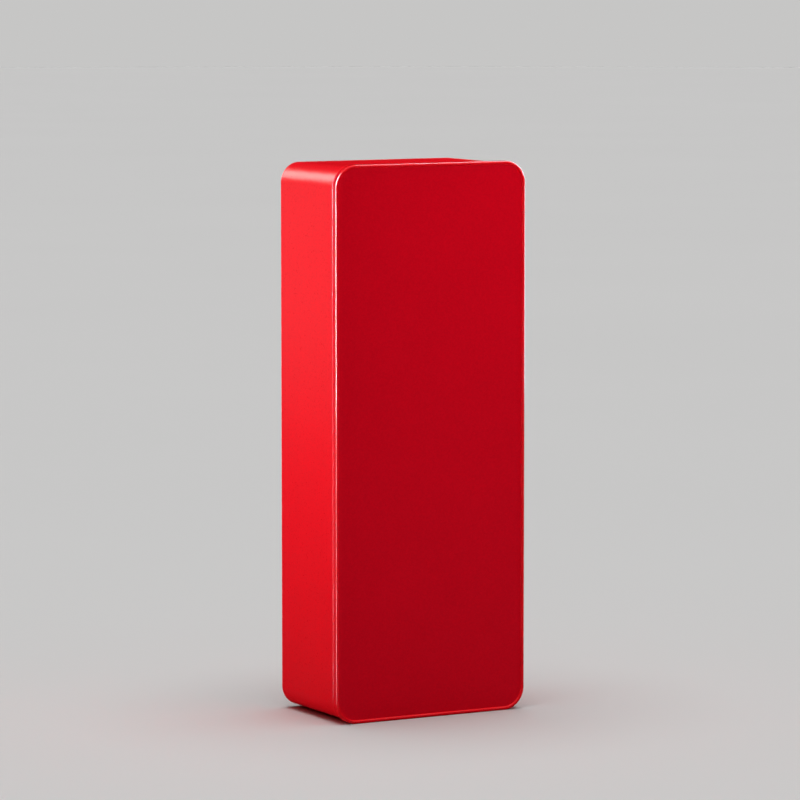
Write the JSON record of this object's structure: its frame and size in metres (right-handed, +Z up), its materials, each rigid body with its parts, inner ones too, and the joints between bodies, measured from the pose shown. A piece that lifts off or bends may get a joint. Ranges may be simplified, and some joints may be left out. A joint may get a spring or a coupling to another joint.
{
  "type": "slip-lid tin",
  "caption": "Tall slim rounded-corner tin box in plain glossy red, with a double-seamed telescoping lid that slides off its full-depth base.",
  "frame": {"origin": "middle of the tin's footprint when it stands on its short end, at the level of the seam bead it stands on", "axes": "+Z up along the tin's longest edge, -Y out of the lid's panel (the face seen in front), +X to the right when looking at that panel"},
  "size_m": [0.076, 0.0442, 0.1965],
  "materials": {
    "lid_panel_lacquer": "satin red lacquer over tinplate",
    "lid_skirt_lacquer": "gloss red lacquer over tinplate",
    "base_wall_lacquer": "gloss red lacquer outside, bare tinplate inside",
    "base_panel_lacquer": "satin red lacquer outside, bare tinplate inside"
  },
  "bodies": {
    "base": {"base_wall": "base_wall_lacquer", "base_panel": "base_panel_lacquer"},
    "lid": {"lid_panel": "lid_panel_lacquer", "lid_skirt": "lid_skirt_lacquer"}
  },
  "joints": [
    {"name": "lid_slide", "type": "slide", "parent": "base", "child": "lid", "axis": [0, -1, 0], "range_m": [0, 0.06]}
  ]
}
